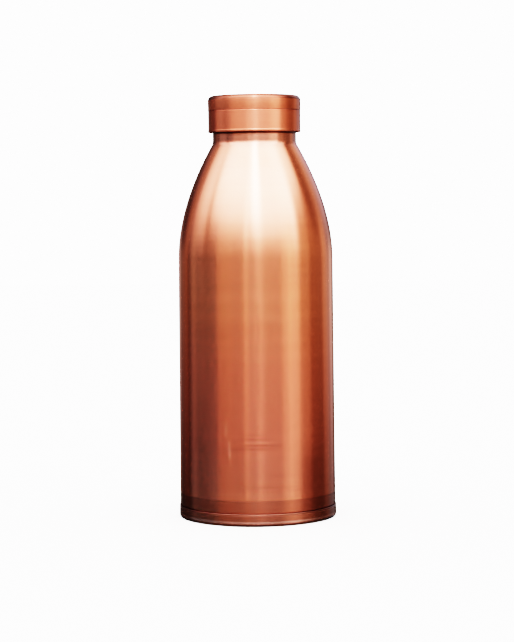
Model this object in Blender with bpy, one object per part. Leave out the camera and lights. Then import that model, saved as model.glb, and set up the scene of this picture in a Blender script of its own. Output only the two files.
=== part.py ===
"""Copper water bottle: spun body, pressed base cup, threaded neck collar and screw cap.

Row frame in metres, +Z up, origin at the middle of the standing ring.
"""
import math

import bmesh
import bpy
from mathutils import Matrix, Vector

MM = 0.001
SEGMENTS = 64
ARC_STEPS = ((2.0, 5), (1.1, 3), (0.45, 2), (0.0, 1))

# Body shell, spun from 0.6 mm copper sheet (mm)
SHEET = 0.6
BODY_R_FOOT = 41.3
BODY_R_SHOULDER = 40.84
SHOULDER_Z = 136.5
SHOULDER_HANDLE = 15.0
SHOULDER_STEPS = 14
NECK_R = 22.0
NECK_CORNER_Z = 197.42
NECK_FILLET = 5.0
NECK_TOP_Z = 204.95
CONE_START = 1.4
CONE_HANDLE = 28.4
CONE_SLOPE = 0.5636
JOGGLE_R = 40.76
JOGGLE_TOP_Z = 6.95
JOGGLE_LOW_Z = 6.35
SHELL_END_Z = 1.25

# Base cup, pressed and brazed over the joggled foot of the shell
CUP_R = 41.68
CUP_TOP_Z = 6.2
CUP_CORNER = 1.2
RING_INNER_R = 38.0
RING_CORNER = 1.0
RECESS_R = 36.0
RECESS_Z = 4.0
RECESS_CORNER = 1.4

# Threaded collar, brazed into the neck
COLLAR_SPIGOT_R = 21.09
COLLAR_SPIGOT_Z = 198.15
COLLAR_FLANGE_Z = (205.25, 206.25)
COLLAR_FLANGE_ROUND = 0.3
COLLAR_BORE_R = 19.4
COLLAR_LEAD_IN = (0.8, 2.0)
MOUTH_Z = 218.35
MOUTH_ROUND = 0.5

# Right-hand thread shared by the collar and the cap
PITCH = 4.0
MALE_ROOT_R = 20.6
MALE_CREST_R = 21.9
FEMALE_ROOT_R = 22.25
FEMALE_CREST_R = 21.0
RIDGE_ROOT_W = 2.3
RIDGE_CREST_W = 1.1
RIDGE_BURIED = 0.3
RIDGE_TIP_SHARE = 0.15
RUN_OUT_TURN = 0.125
MALE_START_Z = 208.15
MALE_TURNS = 2.0
FEMALE_START_ANGLE = -90.0
FEMALE_TURNS = 1.75

# Screw cap
CAP_BOTTOM_Z = 203.1
CAP_TOP_Z = 222.33
CAP_DOME = 0.22
DOME_MIDWAY = (0.5, 0.75)
CAP_SHEET = 0.7
CROWN_R = 24.45
CROWN_CORNER = 2.5
CROWN_EDGE_Z = 214.6
SKIRT_R = 24.35
SKIRT_HEM_R = 24.45
SKIRT_HEM_H = 1.3
SKIRT_HEM_ROUND = 0.3
SKIRT_TOP_Z = 214.3
SLEEVE_R = 23.35
SLEEVE_Z = (203.95, 217.55)
LINER_R = 22.4
LINER_Z = 220.55
LINER_RIM_ROUND = 0.85
LINER_DISH_R = 18.4
LINER_DISH_Z = 217.55
LINER_DISH_ROUND = 0.4
SEAL_R = (18.8, 21.9)
SEAL_Z = (218.65, 220.25)
SEAL_ROUND = 0.35


def clear_scene():
    for obj in list(bpy.data.objects):
        bpy.data.objects.remove(obj, do_unlink=True)


def material(name, colour, roughness, metallic):
    mat = bpy.data.materials.new(name)
    mat.use_nodes = True
    shader = mat.node_tree.nodes["Principled BSDF"]
    shader.inputs["Base Color"].default_value = (*colour, 1.0)
    shader.inputs["Roughness"].default_value = roughness
    shader.inputs["Metallic"].default_value = metallic
    return mat


def rounded(corners):
    """Turn corners (r, z, fillet) into an open polyline with each fillet as a short arc."""
    points = []
    for i, (r, z, fillet) in enumerate(corners):
        here = Vector((r, z))
        if not fillet or i in (0, len(corners) - 1):
            points.append(here)
            continue
        back = (Vector(corners[i - 1][:2]) - here).normalized()
        ahead = (Vector(corners[i + 1][:2]) - here).normalized()
        half = back.angle(ahead) / 2
        centre = here + (back + ahead).normalized() * fillet / math.sin(half)
        start = here + back * fillet / math.tan(half) - centre
        sweep = start.angle_signed(here + ahead * fillet / math.tan(half) - centre)
        steps = next(count for size, count in ARC_STEPS if fillet > size)
        for k in range(steps + 1):
            points.append(centre + Matrix.Rotation(-sweep * k / steps, 2) @ start)
    return points


def profile_object(name, points, mat, closed):
    """An object holding a profile at +X, turned about Z by a Screw modifier."""
    bm = bmesh.new()
    verts = [bm.verts.new((p[0] * MM, 0.0, p[1] * MM)) for p in points]
    for a, b in zip(verts, verts[1:]):
        bm.edges.new((a, b))
    if closed:
        bm.edges.new((verts[-1], verts[0]))
    mesh = bpy.data.meshes.new(name)
    bm.to_mesh(mesh)
    bm.free()
    mesh.materials.append(mat)
    obj = bpy.data.objects.new(name, mesh)
    bpy.context.scene.collection.objects.link(obj)
    turn = obj.modifiers.new("turn", "SCREW")
    turn.steps = SEGMENTS
    turn.render_steps = SEGMENTS
    turn.use_merge_vertices = True
    turn.merge_threshold = 0.00001
    turn.use_smooth_shade = True
    return obj


def turned(name, corners, mat):
    """A solid of revolution; corners start in mid-edge, run down outside and up inside."""
    points = rounded(corners + corners[:1])
    return profile_object(name, points[:-1], mat, closed=True)


def spun_sheet(name, points, thickness, mat):
    """Sheet metal of one thickness behind an outer profile that runs from top to bottom."""
    obj = profile_object(name, points, mat, closed=False)
    wall = obj.modifiers.new("wall", "SOLIDIFY")
    wall.thickness = thickness * MM
    wall.offset = -1.0
    wall.use_even_offset = True
    return obj


def thread(part, root_r, crest_r, start_angle, start_z, turns):
    """Union a helical ridge with tapered ends into the part, its root buried in the wall."""
    base = root_r + math.copysign(RIDGE_BURIED, root_r - crest_r)
    crest = RIDGE_CREST_W / 2
    foot = crest + (RIDGE_ROOT_W / 2 - crest) * abs((crest_r - base) / (crest_r - root_r))
    steps = round(turns * SEGMENTS)
    bm = bmesh.new()
    rings = []
    for k in range(steps + 1):
        angle = math.radians(start_angle) + math.tau * k / SEGMENTS
        z = start_z + PITCH * angle / math.tau
        height = min(1.0, RIDGE_TIP_SHARE + min(k, steps - k) / SEGMENTS / RUN_OUT_TURN)
        top = base + (crest_r - base) * height
        rings.append([bm.verts.new((r * math.cos(angle) * MM, r * math.sin(angle) * MM, (z + dz) * MM))
                      for r, dz in ((base, -foot), (top, -crest), (top, crest), (base, foot))])
    bm.faces.new(rings[0])
    bm.faces.new(rings[-1])
    for low, high in zip(rings, rings[1:]):
        for i in range(4):
            bm.faces.new((low[i - 1], low[i], high[i], high[i - 1]))
    bmesh.ops.recalc_face_normals(bm, faces=bm.faces)
    bmesh.ops.triangulate(bm, faces=bm.faces)
    mesh = bpy.data.meshes.new(part.name + "_ridge")
    bm.to_mesh(mesh)
    bm.free()
    mesh.materials.append(part.data.materials[0])
    ridge = bpy.data.objects.new(mesh.name, mesh)
    ridge.hide_render = True
    ridge.display_type = "WIRE"
    bpy.context.scene.collection.objects.link(ridge)
    union = part.modifiers.new("thread", "BOOLEAN")
    union.operation = "UNION"
    union.solver = "EXACT"
    union.object = ridge
    weld = part.modifiers.new("weld", "WELD")
    weld.merge_threshold = 0.00002


def shoulder_curve(steps):
    """Spinning curve from the neck's foot down to the straight wall, as a cubic Bezier."""
    drop = Vector((CONE_SLOPE, -1.0)).normalized()
    top = Vector((NECK_R, NECK_CORNER_Z)) + drop * CONE_START
    wall = Vector((BODY_R_SHOULDER, SHOULDER_Z))
    knots = [top, top + drop * CONE_HANDLE, wall + Vector((0, SHOULDER_HANDLE)), wall]
    points = []
    for k in range(steps + 1):
        t = k / steps
        weights = [(1 - t) ** 3, 3 * (1 - t) ** 2 * t, 3 * (1 - t) * t * t, t ** 3]
        points.append(sum((p * w for p, w in zip(knots, weights)), Vector((0, 0))))
    return points


clear_scene()

COPPER_BODY = material("brushed_copper_body", (0.80, 0.38, 0.22), 0.30, 1.0)
COPPER_BASE = material("brushed_copper_base", (0.74, 0.32, 0.19), 0.34, 1.0)
COPPER_CROWN = material("brushed_copper_crown", (0.78, 0.36, 0.21), 0.30, 1.0)
COPPER_SKIRT = material("brushed_copper_skirt", (0.82, 0.42, 0.26), 0.28, 1.0)
COPPER_THREAD = material("turned_copper", (0.70, 0.33, 0.19), 0.36, 1.0)
COPPER_LINER = material("pressed_copper", (0.72, 0.35, 0.21), 0.36, 1.0)
SILICONE = material("clear_silicone", (0.78, 0.77, 0.72), 0.5, 0.0)

# Body: neck, shoulder, barely tapered wall and the foot joggled in under the base cup
shoulder_points = shoulder_curve(SHOULDER_STEPS)
body_points = rounded([(NECK_R, NECK_TOP_Z, 0), (NECK_R, NECK_CORNER_Z, NECK_FILLET),
                       (*shoulder_points[0], 0)])[:-1]
body_points += shoulder_points
body_points += rounded([(BODY_R_SHOULDER, SHOULDER_Z, 0), (BODY_R_FOOT, JOGGLE_TOP_Z, 0),
                        (JOGGLE_R, JOGGLE_LOW_Z, 0), (JOGGLE_R, SHELL_END_Z, 0)])[1:]
spun_sheet("body_shell", body_points, SHEET, COPPER_BODY)

# Base cup: flange wall, flat standing ring and raised middle
base_points = rounded([(CUP_R, CUP_TOP_Z, 0), (CUP_R, 0.0, CUP_CORNER), (RING_INNER_R, 0.0, RING_CORNER),
                       (RECESS_R, RECESS_Z, RECESS_CORNER), (0.0, RECESS_Z, 0)])
spun_sheet("base_cup", base_points, SHEET, COPPER_BASE)

# Neck collar: spigot inside the neck, flange on its edge, threaded barrel and rounded mouth
neck_collar = turned("neck_collar", [
    ((COLLAR_BORE_R + MALE_ROOT_R) / 2, MOUTH_Z, 0), (MALE_ROOT_R, MOUTH_Z, MOUTH_ROUND),
    (MALE_ROOT_R, COLLAR_FLANGE_Z[1], 0), (NECK_R, COLLAR_FLANGE_Z[1], COLLAR_FLANGE_ROUND),
    (NECK_R, COLLAR_FLANGE_Z[0], 0), (COLLAR_SPIGOT_R, COLLAR_FLANGE_Z[0], 0),
    (COLLAR_SPIGOT_R, COLLAR_SPIGOT_Z, 0), (COLLAR_BORE_R + COLLAR_LEAD_IN[0], COLLAR_SPIGOT_Z, 0),
    (COLLAR_BORE_R, COLLAR_SPIGOT_Z + COLLAR_LEAD_IN[1], 0), (COLLAR_BORE_R, MOUTH_Z, MOUTH_ROUND)],
    COPPER_THREAD)
thread(neck_collar, MALE_ROOT_R, MALE_CREST_R, 0.0, MALE_START_Z, MALE_TURNS)

# Cap crown: pressed cup with a slightly domed top
crown_points = rounded([(0.0, CAP_TOP_Z + CAP_DOME, 0),
                        (CROWN_R * DOME_MIDWAY[0], CAP_TOP_Z + CAP_DOME * DOME_MIDWAY[1], 0),
                        (CROWN_R, CAP_TOP_Z, CROWN_CORNER), (CROWN_R, CROWN_EDGE_Z, 0)])
spun_sheet("cap_crown", crown_points, CAP_SHEET, COPPER_CROWN)

# Cap skirt: ring below the crown with a hemmed lower edge
turned("cap_skirt", [
    (SKIRT_R - CAP_SHEET, SKIRT_TOP_Z, 0), (SKIRT_R, SKIRT_TOP_Z, 0),
    (SKIRT_R, CAP_BOTTOM_Z + SKIRT_HEM_H, 0),
    (SKIRT_HEM_R, CAP_BOTTOM_Z + SKIRT_HEM_H - SKIRT_HEM_ROUND, 0),
    (SKIRT_HEM_R, CAP_BOTTOM_Z, SKIRT_HEM_ROUND), (SKIRT_R - CAP_SHEET, CAP_BOTTOM_Z, 0)], COPPER_SKIRT)

# Cap thread sleeve: joins crown and skirt from inside and carries the female thread
cap_sleeve = turned("cap_thread_sleeve", [
    (FEMALE_ROOT_R, SLEEVE_Z[1], 0), (SLEEVE_R, SLEEVE_Z[1], 0), (SLEEVE_R, SLEEVE_Z[0], 0),
    (FEMALE_ROOT_R, SLEEVE_Z[0], 0)], COPPER_THREAD)
thread(cap_sleeve, FEMALE_ROOT_R, FEMALE_CREST_R, FEMALE_START_ANGLE,
       MALE_START_Z + PITCH / 2, FEMALE_TURNS)

# Cap liner: pressed disc whose dish centres the seal ring and reaches into the mouth
liner_points = rounded([(0.0, LINER_DISH_Z + SHEET, 0),
                        (LINER_DISH_R - SHEET, LINER_DISH_Z + SHEET, LINER_DISH_ROUND),
                        (LINER_DISH_R - SHEET, LINER_Z + SHEET, LINER_RIM_ROUND),
                        (LINER_R, LINER_Z + SHEET, 0)])
spun_sheet("cap_liner", liner_points, SHEET, COPPER_LINER)

# Seal ring: flat silicone gasket between the mouth and the liner
turned("seal_ring", [
    ((SEAL_R[0] + SEAL_R[1]) / 2, SEAL_Z[1], 0), (SEAL_R[1], SEAL_Z[1], SEAL_ROUND),
    (SEAL_R[1], SEAL_Z[0], SEAL_ROUND), (SEAL_R[0], SEAL_Z[0], SEAL_ROUND),
    (SEAL_R[0], SEAL_Z[1], SEAL_ROUND)], SILICONE)
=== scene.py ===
import math
from collections import namedtuple

import bpy
from mathutils import Matrix, Vector


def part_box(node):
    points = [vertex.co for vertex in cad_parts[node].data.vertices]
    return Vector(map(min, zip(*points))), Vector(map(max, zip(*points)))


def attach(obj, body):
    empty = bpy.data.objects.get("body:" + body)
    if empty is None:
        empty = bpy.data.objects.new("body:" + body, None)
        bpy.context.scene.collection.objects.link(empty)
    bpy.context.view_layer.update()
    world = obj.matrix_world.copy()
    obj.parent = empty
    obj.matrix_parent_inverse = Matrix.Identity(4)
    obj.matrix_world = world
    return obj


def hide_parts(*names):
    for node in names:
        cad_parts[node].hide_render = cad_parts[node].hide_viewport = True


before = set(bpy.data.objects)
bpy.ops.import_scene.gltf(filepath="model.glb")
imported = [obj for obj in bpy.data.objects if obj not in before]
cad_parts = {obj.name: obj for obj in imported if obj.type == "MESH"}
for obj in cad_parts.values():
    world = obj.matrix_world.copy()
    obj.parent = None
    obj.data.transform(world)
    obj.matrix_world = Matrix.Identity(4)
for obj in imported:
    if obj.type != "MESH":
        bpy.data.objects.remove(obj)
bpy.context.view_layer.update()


# ---------------------------------------------------------------------------
# Base cup: pressed from copper sheet and brazed over the foot of the body.
# Its rim stands a little proud of the wall, with painted shade along it, and the bottle
# rests on a flat ring round a raised middle, with a painted highlight just above the
# table and a painted contact shadow along it.
# ---------------------------------------------------------------------------
# Lengths are in millimetres, and MM turns them into metres; SHEET is how thick the copper sheet is
MM = 0.001
SHEET = 0.6

# A level band round a piece: its two heights, how softly it ends, the colour it has, how much of
# that colour shows, and how much rougher it is than the rest
Band = namedtuple("Band", "low high soft tint amount dull")


def node(tree, kind, *values, named=None, **settings):
    """Add a node; each value is a number, a vector or the socket that feeds that input."""
    made = tree.nodes.new(kind)
    for key, setting in settings.items():
        setattr(made, key, setting)
    wanted = list(zip(made.inputs, values))
    wanted += [(made.inputs[key], value) for key, value in (named or {}).items()]
    for socket, value in wanted:
        if isinstance(value, bpy.types.NodeSocket):
            tree.links.new(value, socket)
        elif value is not None:
            socket.default_value = value
    return made


def calc(tree, operation, *values):
    """Add a Math node and give its result."""
    return node(tree, "ShaderNodeMath", *values, operation=operation).outputs[0]


def product(tree, first, *others):
    """Multiply any number of values or sockets."""
    for other in others:
        first = calc(tree, "MULTIPLY", first, other)
    return first


def ramp(tree, value, low, high, dark=0.0, bright=1.0, kind="SMOOTHSTEP"):
    """Carry a value from one range to another, held at both ends."""
    carried = node(tree, "ShaderNodeMapRange", value, low, high, dark, bright, interpolation_type=kind)
    return carried.outputs[0]


def new_tree(name, kind, inputs, outputs):
    """Make a node group with typed, named inputs and outputs, and its input and output nodes."""
    tree = bpy.data.node_groups.new(name, kind)
    for side, sockets in (("INPUT", inputs), ("OUTPUT", outputs)):
        for label, socket_type, *default in sockets:
            socket = tree.interface.new_socket(label, in_out=side, socket_type="NodeSocket" + socket_type)
            if default:
                socket.default_value = default[0]
    return tree, tree.nodes.new("NodeGroupInput").outputs, tree.nodes.new("NodeGroupOutput").inputs


def finish_tree(tree, geometry, finish, result):
    """End a tree with real geometry that has the piece's material."""
    real = node(tree, "GeometryNodeRealizeInstances", geometry)
    painted = node(tree, "GeometryNodeSetMaterial", named={"Geometry": real.outputs[0], "Material": finish})
    tree.links.new(painted.outputs[0], result)


def lathe_tree():
    """Turn a profile mesh in the XZ plane about Z into a closed shell with its faces outwards."""
    tree, given, result = new_tree(
        "lathe", "GeometryNodeTree",
        [("Profile", "Geometry"), ("Segments", "Int", 192), ("Weld", "Float", 0.002 * MM),
         ("Finish", "Material")],
        [("Shell", "Geometry")])
    rows = node(tree, "GeometryNodeAttributeDomainSize", given["Profile"]).outputs["Point Count"]
    columns = calc(tree, "ADD", given["Segments"], 1.0)
    grid = node(tree, "GeometryNodeMeshGrid", 1.0, 1.0, columns, rows)
    index = node(tree, "GeometryNodeInputIndex").outputs[0]
    row = calc(tree, "MODULO", index, rows)
    column = calc(tree, "FLOOR", calc(tree, "DIVIDE", calc(tree, "ADD", index, 0.5), rows))
    angle = calc(tree, "MULTIPLY", calc(tree, "DIVIDE", column, given["Segments"]), -math.tau)
    place = node(tree, "GeometryNodeInputPosition").outputs[0]
    sample = node(tree, "GeometryNodeSampleIndex", data_type="FLOAT_VECTOR",
                  named={"Geometry": given["Profile"], "Value": place, "Index": row})
    turned = node(tree, "ShaderNodeVectorRotate", rotation_type="Z_AXIS",
                  named={"Vector": sample.outputs["Value"], "Angle": angle})
    moved = node(tree, "GeometryNodeSetPosition",
                 named={"Geometry": grid.outputs["Mesh"], "Position": turned.outputs[0]})
    joined = node(tree, "GeometryNodeMergeByDistance",
                  named={"Geometry": moved.outputs[0], "Distance": given["Weld"]})
    smooth = node(tree, "GeometryNodeSetShadeSmooth", joined.outputs[0])
    finish_tree(tree, smooth.outputs[0], given["Finish"], result["Shell"])
    return tree


def rounded(corners, step_deg=9.0):
    """Turn corners (radius, height, fillet) into a line whose fillets are short arcs."""
    points = []
    for i, (r, z, fillet) in enumerate(corners):
        here = Vector((r, z))
        if not fillet or i in (0, len(corners) - 1):
            points.append(here)
            continue
        back = (Vector(corners[i - 1][:2]) - here).normalized()
        ahead = (Vector(corners[i + 1][:2]) - here).normalized()
        half = back.angle(ahead) / 2
        centre = here + (back + ahead).normalized() * fillet / math.sin(half)
        start = here + back * fillet / math.tan(half) - centre
        sweep = start.angle_signed(here + ahead * fillet / math.tan(half) - centre)
        steps = max(2, math.ceil(math.degrees(abs(sweep)) / step_deg))
        points += [centre + Matrix.Rotation(-sweep * k / steps, 2) @ start for k in range(steps + 1)]
    return points


def round_edge(start, finish, steps=8):
    """Go half a turn from one side of a sheet's cut edge to the other, leaving out both ends."""
    middle = (start + finish) / 2
    return [middle + Matrix.Rotation(-math.pi * k / steps, 2) @ (start - middle) for k in range(1, steps)]


def sheet_wall(outer, thickness, sharpest_mitre=0.5):
    """Close an outer line with its offset inside; an end that is off the axis gets a round edge."""
    inner = []
    for i, point in enumerate(outer):
        before = (point - outer[max(i - 1, 0)]).normalized()
        after = (outer[min(i + 1, len(outer) - 1)] - point).normalized()
        along = (before + after).normalized()
        mitre = max(sharpest_mitre, along.dot(before if i else after))
        offset = Vector((along.y, -along.x)) / mitre * thickness
        inner.append(point + offset if point.x else Vector((0.0, point.y + offset.y)))
    line = list(outer)
    if outer[-1].x:
        line += round_edge(outer[-1], inner[-1])
    line += reversed(inner)
    if outer[0].x:
        line += round_edge(inner[0], outer[0])
    return line


def turned_piece(name, line, finish, segments=192, then=()):
    """Turn a line round the axis into a plain mesh piece, then work it with further trees.

    A line that starts on the axis also ends there and stays open; any other is closed.
    """
    ring = [*line, line[0]] if line[0].x else line
    places = [(point.x * MM, 0.0, point.y * MM) for point in ring]
    profile = bpy.data.meshes.new(name)
    profile.from_pydata(places, [(i, i + 1) for i in range(len(ring) - 1)], [])
    piece = bpy.data.objects.new(name, profile)
    bpy.context.scene.collection.objects.link(piece)
    for tree, values in [(LATHE, {"Segments": segments, "Finish": finish}), *then]:
        modifier = piece.modifiers.new(tree.name, "NODES")
        modifier.node_group = tree
        for item in tree.interface.items_tree:
            if item.in_out == "INPUT" and item.name in values:
                modifier[item.identifier] = values[item.name]
    ready = piece.evaluated_get(bpy.context.evaluated_depsgraph_get())
    shape = bpy.data.meshes.new_from_object(ready)
    piece.modifiers.clear()
    piece.data = shape
    shape.name = name
    return piece


def object_place(tree):
    """Give the place on the piece, and its three coordinates, in metres."""
    place = node(tree, "ShaderNodeTexCoord").outputs["Object"]
    return place, node(tree, "ShaderNodeSeparateXYZ", place).outputs


def band_group():
    """Make the mask of a height band with soft edges."""
    tree, given, result = new_tree(
        "height_band", "ShaderNodeTree",
        [("Low", "Float", 0.0), ("High", "Float", 10 * MM), ("Soft", "Float", 1 * MM)],
        [("Mask", "Float")])
    height = object_place(tree)[1]["Z"]
    masks = []
    for edge, sign in ((given["Low"], 1.0), (given["High"], -1.0)):
        gap = calc(tree, "MULTIPLY", calc(tree, "SUBTRACT", height, edge), sign)
        rise = calc(tree, "DIVIDE", gap, given["Soft"])
        masks.append(node(tree, "ShaderNodeMath", rise, 0.5, operation="ADD", use_clamp=True).outputs[0])
    tree.links.new(product(tree, *masks), result["Mask"])
    return tree


def lines_group():
    """Make the arcs that a cloth and abrasive leave on turned metal: a relief, a tone and a few cuts."""
    tree, given, result = new_tree(
        "spinning_lines", "ShaderNodeTree",
        [("Fine Pitch", "Float", 0.6 * MM), ("Coarse Pitch", "Float", 3 * MM), ("Arc", "Float", 50 * MM)],
        [("Height", "Float"), ("Tone", "Float"), ("Cuts", "Float")])
    axes = object_place(tree)[1]
    noises = []
    for pitch, spread, detail in ((given["Fine Pitch"], 1.0, 3.0), (given["Coarse Pitch"], 1.6, 2.0),
                                  (given["Fine Pitch"], 0.35, 0.0)):
        reach = calc(tree, "MULTIPLY", given["Arc"], spread)
        stretched = node(tree, "ShaderNodeCombineXYZ", calc(tree, "DIVIDE", axes["X"], reach),
                         calc(tree, "DIVIDE", axes["Y"], reach), calc(tree, "DIVIDE", axes["Z"], pitch))
        noises.append(node(tree, "ShaderNodeTexNoise", named={
            "Vector": stretched.outputs[0], "Scale": 1.0, "Detail": detail, "Roughness": 0.6}).outputs["Fac"])
    fine, coarse, streak = noises
    for label, fine_share in (("Height", 0.5), ("Tone", 0.35)):
        tree.links.new(calc(tree, "ADD", calc(tree, "MULTIPLY", fine, fine_share),
                            calc(tree, "MULTIPLY", coarse, 1.0 - fine_share)), result[label])
    tree.links.new(ramp(tree, streak, 0.60, 0.68, kind="LINEAR"), result["Cuts"])
    return tree


def patina_group():
    """Make slow drifts of colour in bare metal: brown and rosy patches of thin oxide."""
    tree, given, result = new_tree(
        "thin_oxide", "ShaderNodeTree",
        [("Patch", "Float", 30 * MM), ("Seed", "Float", 0.0)],
        [("Brown", "Float"), ("Rose", "Float")])
    place = object_place(tree)[0]
    shifted = node(tree, "ShaderNodeVectorMath", place, given["Seed"], operation="ADD").outputs[0]
    for label, stretch, low, high in (("Brown", 1.0, 0.42, 0.68), ("Rose", 1.7, 0.50, 0.70)):
        size = calc(tree, "MULTIPLY", given["Patch"], stretch)
        spread = node(tree, "ShaderNodeVectorMath", shifted, calc(tree, "DIVIDE", 1.0, size),
                      operation="MULTIPLY").outputs[0]
        noise = node(tree, "ShaderNodeTexNoise", named={
            "Vector": spread, "Scale": 1.0, "Detail": 4.0, "Roughness": 0.55, "Distortion": 0.4})
        tree.links.new(ramp(tree, noise.outputs["Fac"], low, high, kind="LINEAR"), result[label])
    return tree


def group(tree, shared, **values):
    """Place a shared group in a material with this material's own values."""
    placed = tree.nodes.new("ShaderNodeGroup")
    placed.node_tree = shared
    for label, value in values.items():
        placed.inputs[label.replace("_", " ")].default_value = value
    return placed.outputs


def blend(tree, factor, first, second, kind="MIX"):
    """Mix two colours by a factor; any of the three can be a socket."""
    mix = node(tree, "ShaderNodeMix", data_type="RGBA", blend_type=kind)
    for socket, value in ((mix.inputs[0], factor), (mix.inputs[6], first), (mix.inputs[7], second)):
        if isinstance(value, bpy.types.NodeSocket):
            tree.links.new(value, socket)
        else:
            socket.default_value = (*value, 1.0) if isinstance(value, tuple) else value
    return mix.outputs[2]


# What all the copper pieces share: how much of the oxide colours shows and how large its patches are,
# and how far the brushed lines change the brightness, the roughness and the relief
BROWN_SHARE = 0.35
ROSE_SHARE = 0.30
OXIDE_PATCH = 28 * MM
OXIDE_DULL = 0.01
TONE_LOW, TONE_HIGH = 0.3, 0.7
LINE_DARK, LINE_BRIGHT = 0.955, 1.035
LINE_DULL = 0.006
LINE_RELIEF = 0.004
LINE_DEPTH = 0.4 * MM


def copper(name, clean, brown, rose, roughness, brushed, seed, lines=(0.6, 3.0, 50.0), bands=(), cuts=None,
           streaks=()):
    """Bare brushed copper, from a clean colour and its two oxide colours.

    lines are the fine pitch, the coarse pitch and the arc of the brushed lines, and cuts is the band in
    which single polishing lines show. The bands come next, and the streaks lie over everything.
    """
    finish = bpy.data.materials.new(name)
    finish.use_nodes = True
    tree = finish.node_tree
    shader = tree.nodes["Principled BSDF"]
    shader.inputs["Metallic"].default_value = 1.0
    shader.inputs["Anisotropic"].default_value = brushed
    shader.inputs["Anisotropic Rotation"].default_value = 0.25
    around = node(tree, "ShaderNodeTangent", direction_type="RADIAL", axis="Z")
    tree.links.new(around.outputs[0], shader.inputs["Tangent"])

    fine, coarse, arc = lines
    marks = group(tree, SPINNING_LINES, Fine_Pitch=fine * MM, Coarse_Pitch=coarse * MM, Arc=arc * MM)
    oxide = group(tree, THIN_OXIDE, Patch=OXIDE_PATCH, Seed=seed)
    colour = blend(tree, calc(tree, "MULTIPLY", oxide["Brown"], BROWN_SHARE), clean, brown)
    colour = blend(tree, calc(tree, "MULTIPLY", oxide["Rose"], ROSE_SHARE), colour, rose)
    shade = ramp(tree, marks["Tone"], TONE_LOW, TONE_HIGH, LINE_DARK, LINE_BRIGHT, "LINEAR")
    grey = node(tree, "ShaderNodeCombineColor", shade, shade, shade).outputs[0]
    colour = blend(tree, 1.0, colour, grey, "MULTIPLY")
    rough = ramp(tree, marks["Tone"], TONE_LOW, TONE_HIGH, roughness - LINE_DULL, roughness + LINE_DULL,
                 "LINEAR")
    rough = calc(tree, "ADD", rough, calc(tree, "MULTIPLY", oxide["Brown"], OXIDE_DULL))

    for band in ([cuts] if cuts else []) + list(bands):
        mask = group(tree, HEIGHT_BAND, Low=band.low * MM, High=band.high * MM, Soft=band.soft * MM)["Mask"]
        if band is cuts:
            mask = calc(tree, "MULTIPLY", mask, marks["Cuts"])
        colour = blend(tree, calc(tree, "MULTIPLY", mask, band.amount), colour, band.tint)
        rough = calc(tree, "ADD", rough, calc(tree, "MULTIPLY", mask, band.dull))
    for streak in streaks:
        mask = group(tree, RUBBED_STREAK, Angle=math.radians(streak.angle), Low=streak.low * MM,
                     High=streak.high * MM, Width=streak.width * MM, Slant=streak.slant * MM)["Mask"]
        colour = blend(tree, calc(tree, "MULTIPLY", mask, streak.amount), colour, streak.tint)
        rough = calc(tree, "ADD", rough, calc(tree, "MULTIPLY", mask, streak.dull))

    tree.links.new(colour, shader.inputs["Base Color"])
    tree.links.new(rough, shader.inputs["Roughness"])
    bump = node(tree, "ShaderNodeBump",
                named={"Strength": LINE_RELIEF, "Distance": LINE_DEPTH, "Height": marks["Height"]})
    tree.links.new(bump.outputs[0], shader.inputs["Normal"])
    return finish


LATHE = lathe_tree()
HEIGHT_BAND = band_group()
SPINNING_LINES = lines_group()
THIN_OXIDE = patina_group()

cup_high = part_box("base_cup")[1]
cup_r = cup_high.x / MM
cup_top = cup_high.z / MM
rim_height = 0.2
cup_corner = 1.2
ring_inner_r = 38.0
ring_corner = 1.0
recess_r = 36.0
recess_z = 4.0
recess_corner = 1.4

rim_shadow = Band(cup_top - 0.6, cup_top + 0.8, 0.3, (0.13, 0.040, 0.024), 0.80, 0.10)
# painted highlight: a pinkish bright band on the cup's wall just above the table
painted_highlight_edge = Band(1.7, 2.7, 0.5, (0.78, 0.35, 0.25), 0.65, 0.0)
# painted contact shadow: a near-black band round the foot of the cup, along the table
painted_contact_shadow = Band(-1.0, 1.4, 0.3, (0.04, 0.015, 0.010), 0.92, 0.10)
cup_copper = copper("base_cup_copper", (0.43, 0.128, 0.071), (0.34, 0.095, 0.050), (0.42, 0.125, 0.073),
                    roughness=0.25, brushed=0.85, seed=3.0, bands=[rim_shadow, painted_highlight_edge, painted_contact_shadow])

cup_line = rounded([(cup_r, cup_top, 0), (cup_r, cup_top - rim_height, 0), (cup_r, 0.0, cup_corner),
                    (ring_inner_r, 0.0, ring_corner), (recess_r, recess_z, recess_corner),
                    (0.0, recess_z, 0)])
base_cup = turned_piece("base_cup_visual", sheet_wall(cup_line, SHEET), cup_copper)
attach(base_cup, "bottle")
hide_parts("base_cup")


# ---------------------------------------------------------------------------
# Body: one copper sheet spun over a former, from the joggled foot up the wall
# and over the long shoulder to the straight neck, then brushed in the lathe.
# ---------------------------------------------------------------------------
# A rubbed or tarnished streak up the wall: its angle round from the front in degrees, its two heights,
# half its width, how far it leans, and the rest as for a band
Streak = namedtuple("Streak", "angle low high width slant tint amount dull")


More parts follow.
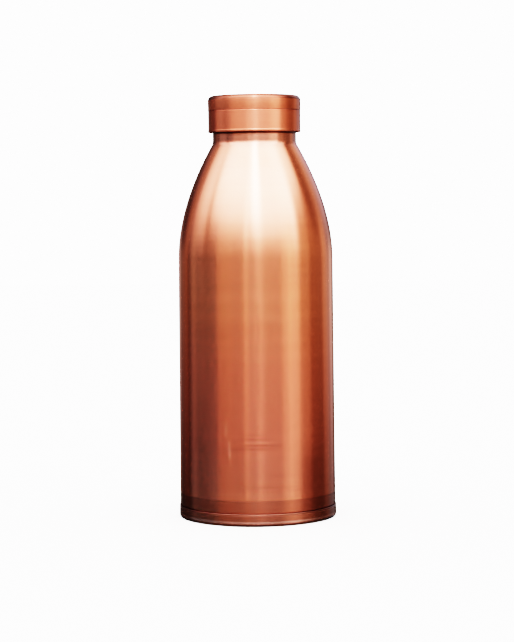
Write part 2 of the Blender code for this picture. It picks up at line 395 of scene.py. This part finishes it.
def streak_group():
    """Make the mask of one streak up the wall of a round piece, slightly broken."""
    tree, given, result = new_tree(
        "rubbed_streak", "ShaderNodeTree",
        [("Angle", "Float", 0.0), ("Low", "Float", 30 * MM), ("High", "Float", 50 * MM),
         ("Width", "Float", 1 * MM), ("Slant", "Float", 0.0)],
        [("Mask", "Float")])
    place, (x, y, z) = object_place(tree)
    around = calc(tree, "ARCTAN2", x, calc(tree, "MULTIPLY", y, -1.0))
    radius = calc(tree, "SQRT", calc(tree, "ADD", product(tree, x, x), product(tree, y, y)))
    middle = calc(tree, "MULTIPLY", calc(tree, "ADD", given["Low"], given["High"]), 0.5)
    half = calc(tree, "MULTIPLY", calc(tree, "SUBTRACT", given["High"], given["Low"]), 0.5)
    along = calc(tree, "DIVIDE", calc(tree, "SUBTRACT", z, middle), half)
    arc = calc(tree, "MULTIPLY", calc(tree, "SUBTRACT", around, given["Angle"]), radius)
    slanted = calc(tree, "SUBTRACT", arc, calc(tree, "MULTIPLY", along, given["Slant"]))
    across = calc(tree, "DIVIDE", calc(tree, "ABSOLUTE", slanted), given["Width"])
    core = ramp(tree, across, 1.0, 0.0)
    ends = ramp(tree, calc(tree, "ABSOLUTE", along), 1.0, 0.5)
    grain = calc(tree, "DIVIDE", 0.2, given["Width"])
    broken = node(tree, "ShaderNodeTexNoise", named={"Vector": place, "Scale": grain, "Detail": 2.0})
    worn = ramp(tree, broken.outputs["Fac"], 0.35, 0.6, 0.4, 1.0, "LINEAR")
    tree.links.new(product(tree, core, ends, worn), result["Mask"])
    return tree


def polishing_stroke(angle, height, reach, amount, tint=(0.40, 0.08, 0.04), thick=1.0):
    """A level line, reach mm to either side, as a hard grain in the polishing cloth leaves it."""
    return Streak(angle, height - thick / 2, height + thick / 2, reach, 0.0, tint, amount, 0.0)


def shoulder_line(top, slope, cone_reach, wall, wall_reach, steps):
    """Cubic curve from the foot of the neck down to the straight wall."""
    drop = Vector((slope, -1.0)).normalized()
    knots = [top, top + drop * cone_reach, wall + Vector((0, wall_reach)), wall]
    line = []
    for k in range(steps + 1):
        t = k / steps
        weights = [(1 - t) ** 3, 3 * (1 - t) ** 2 * t, 3 * (1 - t) * t * t, t ** 3]
        line.append(sum((p * w for p, w in zip(knots, weights)), Vector((0, 0))))
    return line


RUBBED_STREAK = streak_group()

shell_low, shell_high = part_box("body_shell")
shell_end = shell_low.z / MM
foot_r = shell_high.x / MM
joggle_r = foot_r - 0.54
joggle_low = 6.35
joggle_top = 6.95
wall_top_r = foot_r - 0.46
wall_top = 136.5
wall_reach = 15.0
cone_slope = 0.5636
cone_start = 1.4
cone_reach = 28.4
neck_r = 22.0
neck_foot = 197.42
neck_fillet = 5.0
neck_top = shell_high.z / MM

CLEAN = (0.90, 0.235, 0.112)
BROWN = (0.74, 0.165, 0.072)
ROSE = (0.86, 0.215, 0.125)
cut_tint = tuple(0.6 * channel for channel in BROWN)
rub_tint = (1.0, 0.42, 0.28)
body_bands = [
    # the neck under the cap, painted darker as shade from the cap, and the painted shadow line right below
    # the cap
    Band(196.5, 210.0, 5.0, (0.50, 0.155, 0.088), 0.9, 0.02),
    Band(202.1, 210.0, 0.5, (0.10, 0.032, 0.020), 0.85, 0.1),
    # the lower wall, a little rosier than the top
    Band(0.0, 55.0, 60.0, (0.80, 0.235, 0.145), 0.6, 0.0),
    Band(30.0, 95.0, 30.0, (0.85, 0.19, 0.108), 0.5, 0.0),
    # the darker foot, its joint with the cup, and one turned line above it
    Band(0.0, 13.4, 0.5, (0.41, 0.116, 0.064), 0.85, 0.02),
    Band(6.0, 7.1, 0.3, (0.20, 0.058, 0.032), 0.25, 0.0),
    Band(18.3, 18.7, 0.4, (0.60, 0.13, 0.08), 0.5, 0.02),
]
body_streaks = [
    # two rub marks at the lower left
    Streak(-22.9, 45.5, 53.5, 0.8, -0.3, rub_tint, 0.30, 0.04),
    Streak(-20.5, 34.5, 45.0, 0.9, -0.3, rub_tint, 0.45, 0.05),
    polishing_stroke(-3.0, 47.6, 14.0, 0.45),
    polishing_stroke(-4.0, 45.2, 18.0, 0.60),
    polishing_stroke(2.0, 43.5, 16.0, 0.25, tint=(0.95, 0.36, 0.23)),
    polishing_stroke(3.0, 42.1, 16.0, 0.80),
    polishing_stroke(-6.0, 40.1, 16.0, 0.85),
    polishing_stroke(5.7, 20.25, 30.0, 0.22, thick=1.1),
    polishing_stroke(20.0, 26.0, 18.0, 0.18),
    # a thin darker line up the front, and two broad darker patches that rise from the foot
    Streak(1.2, 55.0, 125.0, 0.6, 0.0, (0.52, 0.11, 0.055), 0.55, 0.0),
    Streak(42.0, -30.0, 48.0, 15.0, 0.0, (0.30, 0.07, 0.042), 0.5, 0.0),
    Streak(-44.0, -20.0, 75.0, 10.0, 0.0, (0.42, 0.09, 0.05), 0.4, 0.0),
]
body_copper = copper("body_copper", CLEAN, BROWN, ROSE, roughness=0.225, brushed=0.88, seed=0.0,
                     bands=body_bands, cuts=Band(16.0, 56.0, 16.0, cut_tint, 0.36, 0.0),
                     streaks=body_streaks)

cone_top = Vector((neck_r, neck_foot)) + Vector((cone_slope, -1.0)).normalized() * cone_start
body_line = rounded([(neck_r, neck_top, 0), (neck_r, neck_foot, neck_fillet), (*cone_top, 0)])[:-1]
body_line += shoulder_line(cone_top, cone_slope, cone_reach, Vector((wall_top_r, wall_top)), wall_reach,
                           steps=60)
body_line += rounded([(wall_top_r, wall_top, 0), (foot_r, joggle_top, 0.5), (joggle_r, joggle_low, 0.4),
                      (joggle_r, shell_end, 0)])[1:]
body = turned_piece("body_visual", sheet_wall(body_line, SHEET), body_copper, segments=256)
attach(body, "bottle")
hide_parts("body_shell")


# ---------------------------------------------------------------------------
# Neck collar: turned copper ring brazed into the neck. Its right-hand thread
# takes the cap, and its rounded top is the mouth that the seal sits on.
# ---------------------------------------------------------------------------
def thread_tree():
    """Raise or sink a helical ridge with run-outs in the wall of a turned piece."""
    tree, given, result = new_tree(
        "screw_thread", "GeometryNodeTree",
        [("Shell", "Geometry"), ("Pitch", "Float", 4 * MM), ("Start Height", "Float"),
         ("Start Turn", "Float"), ("Turns", "Float", 2.0), ("Run Out Turn", "Float", 0.12),
         ("Ridge Height", "Float", 1 * MM), ("Root Width", "Float", 2.3 * MM),
         ("Crest Width", "Float", 1.1 * MM), ("Wall Radius", "Float", 20 * MM),
         ("Wall Tolerance", "Float", 0.02 * MM), ("Finish", "Material")],
        [("Shell", "Geometry")])
    place = node(tree, "GeometryNodeInputPosition").outputs[0]
    x, y, z = node(tree, "ShaderNodeSeparateXYZ", place).outputs
    angle = calc(tree, "DIVIDE", calc(tree, "ARCTAN2", y, x), math.tau)
    along = calc(tree, "DIVIDE", calc(tree, "SUBTRACT", z, given["Start Height"]), given["Pitch"])
    lap = calc(tree, "ROUND", calc(tree, "SUBTRACT", along, angle))
    turn = calc(tree, "ADD", lap, angle)
    off = product(tree, calc(tree, "ABSOLUTE", calc(tree, "SUBTRACT", along, turn)), given["Pitch"])
    flank = ramp(tree, off, product(tree, given["Root Width"], 0.5), product(tree, given["Crest Width"], 0.5))
    since = calc(tree, "SUBTRACT", turn, given["Start Turn"])
    enter = ramp(tree, since, 0.0, given["Run Out Turn"])
    leave = ramp(tree, calc(tree, "SUBTRACT", given["Turns"], since), 0.0, given["Run Out Turn"])
    radius = calc(tree, "SQRT", calc(tree, "ADD", product(tree, x, x), product(tree, y, y)))
    from_wall = calc(tree, "ABSOLUTE", calc(tree, "SUBTRACT", radius, given["Wall Radius"]))
    on_wall = calc(tree, "LESS_THAN", from_wall, given["Wall Tolerance"])
    lift = product(tree, given["Ridge Height"], flank, enter, leave, on_wall)
    grow = calc(tree, "ADD", 1.0, calc(tree, "DIVIDE", lift, radius))
    outward = node(tree, "ShaderNodeCombineXYZ", product(tree, x, grow), product(tree, y, grow), z)
    moved = node(tree, "GeometryNodeSetPosition",
                 named={"Geometry": given["Shell"], "Position": outward.outputs[0]})
    finish_tree(tree, moved.outputs[0], given["Finish"], result["Shell"])
    return tree


def finely(radius, start, finish, step=0.1):
    """Points along a straight wall, close enough together to carry a thread."""
    count = round(abs(start - finish) / step)
    return [Vector((radius, start + (finish - start) * k / count)) for k in range(count + 1)]


THREAD = thread_tree()

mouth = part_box("neck_collar")[1].z / MM
mouth_mid_r = 20.0
mouth_round = 0.55
bore_r = 19.4
male_root = 20.6
male_ridge = 1.3
male_start = 208.15
plain_top = 1.0
flange_low = 205.25
flange_top = 206.25
thread_foot = flange_top + 0.3
spigot_r = 21.09
spigot_foot = 198.15
lead_in = Vector((0.8, 2.0))

collar_copper = copper("collar_copper", (0.84, 0.23, 0.13), (0.60, 0.14, 0.07), (0.80, 0.22, 0.14),
                       roughness=0.33, brushed=0.6, seed=7.0, lines=(0.3, 1.2, 20.0),
                       bands=[Band(190.0, 207.4, 1.0, (0.45, 0.20, 0.12), 0.5, 0.08)])

collar_line = rounded([(mouth_mid_r, mouth, 0), (male_root, mouth, mouth_round),
                       (male_root, mouth - plain_top, 0)])[:-1]
collar_line += finely(male_root, mouth - plain_top, thread_foot)
collar_line += rounded([(male_root, thread_foot, 0), (male_root, flange_top, 0.2), (neck_r, flange_top, 0.35),
                        (neck_r, flange_low, 0.2), (spigot_r, flange_low, 0), (spigot_r, spigot_foot, 0.2),
                        (bore_r + lead_in.x, spigot_foot, 0.3), (bore_r, spigot_foot + lead_in.y, 0.5),
                        (bore_r, mouth, mouth_round), (mouth_mid_r, mouth, 0)])[1:-1]
neck_collar = turned_piece("neck_collar_visual", collar_line, collar_copper, segments=256, then=[
    (THREAD, {"Start Height": male_start * MM, "Start Turn": 0.0, "Turns": 2.0,
              "Ridge Height": male_ridge * MM, "Wall Radius": male_root * MM, "Finish": collar_copper})])
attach(neck_collar, "bottle")
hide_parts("neck_collar")


# ---------------------------------------------------------------------------
# Thread sleeve: turned copper ring inside the cap. The crown and the skirt
# are pressed on to it, and its inner thread runs on the collar's.
# ---------------------------------------------------------------------------
sleeve_low, sleeve_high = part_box("cap_thread_sleeve")
sleeve_r = sleeve_high.x / MM
sleeve_foot = sleeve_low.z / MM
sleeve_top = sleeve_high.z / MM
sleeve_mid_r = 22.7
sleeve_round = 0.25
female_root = 22.25
female_ridge = 1.25
female_start = male_start + 2.0

sleeve_copper = copper("sleeve_copper", (0.80, 0.22, 0.125), (0.55, 0.13, 0.07), (0.76, 0.21, 0.14),
                       roughness=0.35, brushed=0.6, seed=11.0, lines=(0.3, 1.2, 20.0))

sleeve_line = rounded([(sleeve_mid_r, sleeve_top, 0), (sleeve_r, sleeve_top, sleeve_round),
                       (sleeve_r, sleeve_foot, sleeve_round), (female_root, sleeve_foot, 0.3),
                       (female_root, sleeve_foot + 0.6, 0)])[:-1]
sleeve_line += finely(female_root, sleeve_foot + 0.6, sleeve_top - 0.4)
sleeve_line += rounded([(female_root, sleeve_top - 0.6, 0), (female_root, sleeve_top, 0.2),
                        (sleeve_mid_r, sleeve_top, 0)])[1:-1]
cap_sleeve = turned_piece("cap_sleeve_visual", sleeve_line, sleeve_copper, segments=256, then=[
    (THREAD, {"Start Height": female_start * MM, "Start Turn": -0.25, "Turns": 1.75,
              "Ridge Height": -female_ridge * MM, "Wall Radius": female_root * MM,
              "Finish": sleeve_copper})])
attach(cap_sleeve, "cap")
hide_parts("cap_thread_sleeve")


# ---------------------------------------------------------------------------
# Cap crown: pressed copper cup with a rounded shoulder and a faintly domed
# top. It is a touch wider than the skirt and a little darker, with painted shade
# over its shoulder and a painted dark reflection down its right side.
# ---------------------------------------------------------------------------
crown_low, crown_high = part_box("cap_crown")
crown_r = crown_high.x / MM
crown_top = crown_high.z / MM
crown_edge = crown_low.z / MM
crown_corner = 2.5
dome_fall = 0.22
dome_mid_fall = 0.05
cap_sheet = 0.7

crown_gap = Band(214.0, 215.0, 0.4, (0.45, 0.12, 0.07), 0.4, 0.05)
# painted shade: a dark band over the crown's rounded top edge, in place of the lamps' highlight there
painted_shade_crown_shoulder = Band(220.1, 222.2, 0.6, (0.20, 0.05, 0.025), 0.85, 0.0)
crown_copper = copper("crown_copper", (0.72, 0.17, 0.080), (0.56, 0.116, 0.05), (0.70, 0.162, 0.090),
                      roughness=0.31, brushed=0.85, seed=17.0, lines=(0.5, 2.0, 30.0),
                      bands=[crown_gap, painted_shade_crown_shoulder],
                      # painted dark reflection: a dark strip down the crown's right side
                      streaks=[Streak(73.0, 208.0, 229.0, 6.0, 0.0, (0.30, 0.06, 0.03), 0.5, 0.0)])

crown_line = rounded([(0.0, crown_top, 0), (crown_r / 2, crown_top - dome_mid_fall, 0),
                      (crown_r, crown_top - dome_fall, crown_corner), (crown_r, crown_edge, 0)], step_deg=6.0)
cap_crown = turned_piece("cap_crown_visual", sheet_wall(crown_line, cap_sheet), crown_copper)
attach(cap_crown, "cap")
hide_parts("cap_crown")


# ---------------------------------------------------------------------------
# Cap skirt: copper ring below the crown, a little brighter than it, with painted
# dark reflections down both sides and its lower edge rolled into a small hem.
# ---------------------------------------------------------------------------
skirt_low, skirt_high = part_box("cap_skirt")
hem_r = skirt_high.x / MM
skirt_foot = skirt_low.z / MM
skirt_top = skirt_high.z / MM
skirt_r = hem_r - 0.1
skirt_inner_r = 23.65
skirt_mid_r = 23.95
hem_height = 0.9
hem_blend = 1.3
hem_curve = 0.6

hem_shadow = Band(200.0, 203.5, 0.4, (0.35, 0.12, 0.07), 0.6, 0.08)
skirt_copper = copper("skirt_copper", (0.76, 0.175, 0.085), (0.66, 0.14, 0.062), (0.74, 0.168, 0.096),
                      roughness=0.29, brushed=0.85, seed=23.0, lines=(0.5, 2.0, 30.0), bands=[hem_shadow],
                      # painted dark reflections: dark strips down the skirt's left and right sides
                      streaks=[Streak(-62.0, 197.5, 219.9, 5.0, 0.0, (0.30, 0.06, 0.03), 0.65, 0.0),
                               Streak(67.0, 197.5, 219.9, 8.0, 0.0, (0.34, 0.065, 0.03), 0.4, 0.0)])

skirt_line = rounded([(skirt_mid_r, skirt_top, 0), (skirt_r, skirt_top, 0.25),
                      (skirt_r, skirt_foot + hem_blend, hem_curve),
                      (hem_r, skirt_foot + hem_height, hem_curve), (hem_r, skirt_foot, 0.4),
                      (skirt_inner_r, skirt_foot, 0.3),
                      (skirt_inner_r, skirt_top, 0.1), (skirt_mid_r, skirt_top, 0)])[:-1]
cap_skirt = turned_piece("cap_skirt_visual", skirt_line, skirt_copper)
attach(cap_skirt, "cap")
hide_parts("cap_skirt")


# ---------------------------------------------------------------------------
# Cap liner: thin copper disc pressed up inside the crown. Its dish centres
# the seal and reaches a little way into the mouth.
# ---------------------------------------------------------------------------
liner_low, liner_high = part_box("cap_liner")
liner_r = liner_high.x / MM
liner_top = liner_high.z / MM
dish_r = 17.8
dish_floor = liner_low.z / MM + SHEET
dish_corner = 0.4
dish_lip = 0.85

liner_copper = copper("liner_copper", (0.82, 0.23, 0.13), (0.60, 0.14, 0.07), (0.80, 0.22, 0.15),
                      roughness=0.36, brushed=0.5, seed=29.0, lines=(0.4, 1.5, 20.0))

liner_line = rounded([(0.0, dish_floor, 0), (dish_r, dish_floor, dish_corner), (dish_r, liner_top, dish_lip),
                      (liner_r, liner_top, 0)])
cap_liner = turned_piece("cap_liner_visual", sheet_wall(liner_line, SHEET), liner_copper)
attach(cap_liner, "cap")
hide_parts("cap_liner")


# ---------------------------------------------------------------------------
# Seal ring: soft translucent silicone, moulded with rounded edges, lying
# between the mouth and the liner.
# ---------------------------------------------------------------------------
seal_low, seal_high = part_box("seal_ring")
seal_r = seal_high.x / MM
seal_foot = seal_low.z / MM
seal_top = seal_high.z / MM
seal_inner_r = 18.8
seal_mid_r = 20.3
seal_round = 0.4

silicone = bpy.data.materials.new("seal_silicone")
silicone.use_nodes = True
seal_tree = silicone.node_tree
seal_shader = seal_tree.nodes["Principled BSDF"]
seal_shader.inputs["Subsurface Weight"].default_value = 0.4
seal_shader.inputs["Subsurface Radius"].default_value = (4 * MM, 4 * MM, 4 * MM)
dust = group(seal_tree, THIN_OXIDE, Patch=4 * MM, Seed=5.0)
seal_colour = blend(seal_tree, dust["Brown"], (0.80, 0.79, 0.74), (0.70, 0.68, 0.62))
seal_rough = ramp(seal_tree, dust["Rose"], 0.0, 1.0, 0.38, 0.55, "LINEAR")
seal_tree.links.new(seal_colour, seal_shader.inputs["Base Color"])
seal_tree.links.new(seal_rough, seal_shader.inputs["Roughness"])

seal_line = rounded([(seal_mid_r, seal_top, 0), (seal_r, seal_top, seal_round),
                     (seal_r, seal_foot, seal_round), (seal_inner_r, seal_foot, seal_round),
                     (seal_inner_r, seal_top, seal_round), (seal_mid_r, seal_top, 0)])[:-1]
seal_ring = turned_piece("seal_ring_visual", seal_line, silicone)
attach(seal_ring, "seal")
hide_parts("seal_ring")


# ---------------------------------------------------------------------------
# Floor: a sheet of pale matt paper that runs out of sight on all sides. The
# metal doesn't mirror it, so that the studio alone makes the reflections.
# ---------------------------------------------------------------------------
floor_half = 3.0
floor_mesh = bpy.data.meshes.new("floor")
floor_corners = [(-floor_half, -floor_half, 0), (floor_half, -floor_half, 0), (floor_half, floor_half, 0),
                 (-floor_half, floor_half, 0)]
floor_mesh.from_pydata(floor_corners, [], [(0, 1, 2, 3)])
floor = bpy.data.objects.new("floor", floor_mesh)
bpy.context.scene.collection.objects.link(floor)
paper = bpy.data.materials.new("pale_paper")
paper.use_nodes = True
paper_shader = paper.node_tree.nodes["Principled BSDF"]
paper_shader.inputs["Base Color"].default_value = (0.92, 0.92, 0.92, 1.0)
paper_shader.inputs["Roughness"].default_value = 1.0
paper_shader.inputs["Specular IOR Level"].default_value = 0.0
floor_mesh.materials.append(paper)
floor.visible_glossy = False


# ---------------------------------------------------------------------------
# Studio: soft panels all round the bottle with dark gaps between them, which
# is what gives polished metal its bright and dark bands, and lamps above.
# ---------------------------------------------------------------------------
# Angles are in degrees: an azimuth is 0 behind the camera and positive to the camera's right, and a
# height is above the horizon. A panel is an upright strip of any height, and adds to the dim light of
# the room. A lamp fades in between its two heights and goes on up over the bottle.
Panel = namedtuple("Panel", "azimuth half_width soft brightness")
Lamp = namedtuple("Lamp", "azimuth half_width soft low high brightness")
ROOM = 0.12
BACKGROUND = 7.0
PANELS = [
    Panel(-160, 10, 14, 0.30), Panel(-134, 12, 8, 0.15), Panel(-106, 6, 8, 0.10), Panel(-80, 8, 8, 0.01),
    Panel(-49, 11, 7, 0.27), Panel(-18, 21, 8, 0.21), Panel(-15, 3, 4, 0.27), Panel(5, 3.5, 4, 0.21),
    Panel(26, 22, 9, 0.26), Panel(46, 7, 6, 0.36), Panel(58, 9, 8, 0.80), Panel(78, 11, 10, 0.40),
    Panel(105, 14, 8, 0.23), Panel(127, 9, 8, 0.46), Panel(146, 8, 8, 0.54), Panel(166, 10, 12, 0.18),
]
# Blue daylight, on the left and behind to the right, that ends a little above the horizon
WINDOWS = [Panel(-88, 28, 16, 0.16), Panel(140, 10, 12, 0.10)]
LAMPS = [
    # on the camera's side: two wide lamps that meet, and two narrow ones near where they do
    Lamp(-40, 42, 14, 16, 38, 8.0), Lamp(36, 34, 14, 10.3, 34.5, 8.0), Lamp(1, 7, 14, 20, 46, 20.0),
    Lamp(-14, 3, 5, 8, 20, 1.6),
    # on the right
    Lamp(64, 5, 8, 5, 14, 1.4), Lamp(84, 16, 10, 22, 40, 4.6),
    # on the left
    Lamp(-109, 8, 9, 6, 32, 2.6), Lamp(-120, 5, 8, 3, 16, 0.30), Lamp(-94, 8, 10, 4, 34, 3.6),
    # behind to the right and to the left, and a faint one on the left that begins far lower
    Lamp(150, 15, 18, 3, 10, 0.50), Lamp(-138, 9, 16, 4, 20, 0.12), Lamp(-112, 8, 10, -30, -10, 0.04),
]
COOL = (0.9, 1.05, 1.4, 1.0)
BLUE = (0.3, 0.8, 1.2, 1.0)
WHITE = (1.0, 1.0, 1.0, 1.0)

world = bpy.data.worlds.new("studio")
world.use_nodes = True
sky = world.node_tree
sky.nodes.clear()
toward = node(sky, "ShaderNodeTexCoord").outputs["Generated"]
east, north, up = node(sky, "ShaderNodeSeparateXYZ", toward).outputs
azimuth = product(sky, calc(sky, "ARCTAN2", east, product(sky, north, -1.0)), 180 / math.pi)
height = product(sky, calc(sky, "ARCSINE", up), 180 / math.pi)


def upright(panel):
    """Mask of one panel's width; the azimuth wraps round behind the bottle."""
    wrapped = calc(sky, "WRAP", calc(sky, "SUBTRACT", azimuth, panel.azimuth), -180.0, 180.0)
    off = calc(sky, "ABSOLUTE", wrapped)
    return ramp(sky, off, panel.half_width + panel.soft / 2, panel.half_width - panel.soft / 2)


def add_up(parts):
    """Add any number of sockets to nothing."""
    total = 0.0
    for part in parts:
        total = calc(sky, "ADD", total, part)
    return total


# The panels and the room, both dimmer towards the table
panels = add_up(product(sky, upright(panel), panel.brightness) for panel in PANELS)
low_light = calc(sky, "ADD", product(sky, panels, ramp(sky, height, -24.0, 8.0, 0.42, 1.75)),
                 product(sky, ROOM, ramp(sky, height, -16.0, 8.0, 0.1, 1.0)))

# Shades: round the sides and the back below the horizon, behind the bottle above it, and one above it
# on the right
turned_away = calc(sky, "ABSOLUTE", calc(sky, "SUBTRACT", azimuth, 20.0))
table_shade = product(sky, ramp(sky, turned_away, 35.0, 95.0), ramp(sky, height, -2.0, -10.0, 0.0, 0.9))
far = ramp(sky, calc(sky, "ABSOLUTE", azimuth), 118.0, 142.0)
back_shade = product(sky, far, product(sky, ramp(sky, height, -1.0, 3.5, 0.0, 0.85),
                                       ramp(sky, height, 30.0, 12.0, 0.3, 1.0)))
side_shade = product(sky, upright(Panel(114, 13, 10, 1.0)), ramp(sky, height, 4.0, 14.0, 0.0, 0.55))
for shade in (table_shade, back_shade, side_shade):
    low_light = product(sky, low_light, calc(sky, "SUBTRACT", 1.0, shade))

# The lit table, steeply below the horizon
table_light = product(sky, ramp(sky, height, -26.0, -44.0, 0.0, 1.2), ramp(sky, height, -80.0, -62.0))
low_light = calc(sky, "ADD", low_light, table_light)

lamps = add_up(product(sky, upright(lamp), ramp(sky, height, lamp.low, lamp.high), lamp.brightness)
               for lamp in LAMPS)
windows = add_up(product(sky, upright(window), window.brightness) for window in WINDOWS)
windows = product(sky, windows, ramp(sky, height, 14.0, 4.0))

# Reflections show the studio, and everything else is lit by an even white
seen_by_metal = node(sky, "ShaderNodeBackground", WHITE, low_light)
for colour, strength in ((COOL, lamps), (BLUE, windows)):
    light = node(sky, "ShaderNodeBackground", colour, strength)
    seen_by_metal = node(sky, "ShaderNodeAddShader", seen_by_metal.outputs[0], light.outputs[0])
even_white = node(sky, "ShaderNodeBackground", WHITE, BACKGROUND)
path = node(sky, "ShaderNodeLightPath").outputs
either = node(sky, "ShaderNodeMixShader", path["Is Glossy Ray"], even_white.outputs[0],
              seen_by_metal.outputs[0])
node(sky, "ShaderNodeOutputWorld", either.outputs[0])
world.cycles.sampling_method = "NONE"
bpy.context.scene.world = world
bpy.context.scene.view_settings.view_transform = "Filmic"
bpy.context.scene.view_settings.look = "Very High Contrast"


# ---------------------------------------------------------------------------
# Camera: about a metre from the bottle and level with its shoulder, looking
# very slightly down through a long lens, and tipped a touch to one side.
# ---------------------------------------------------------------------------
eye = Vector((0.0004, -1.05, 0.1673))
look_down = 3.477
roll = -0.58
camera_data = bpy.data.cameras.new("camera")
camera_data.sensor_fit = "VERTICAL"
camera_data.sensor_height = 36.0
camera_data.lens = 111.2
camera = bpy.data.objects.new("camera", camera_data)
bpy.context.scene.collection.objects.link(camera)
camera.matrix_world = (Matrix.Translation(eye) @ Matrix.Rotation(math.radians(90.0 - look_down), 4, "X")
                       @ Matrix.Rotation(math.radians(roll), 4, "Z"))
bpy.context.scene.camera = camera
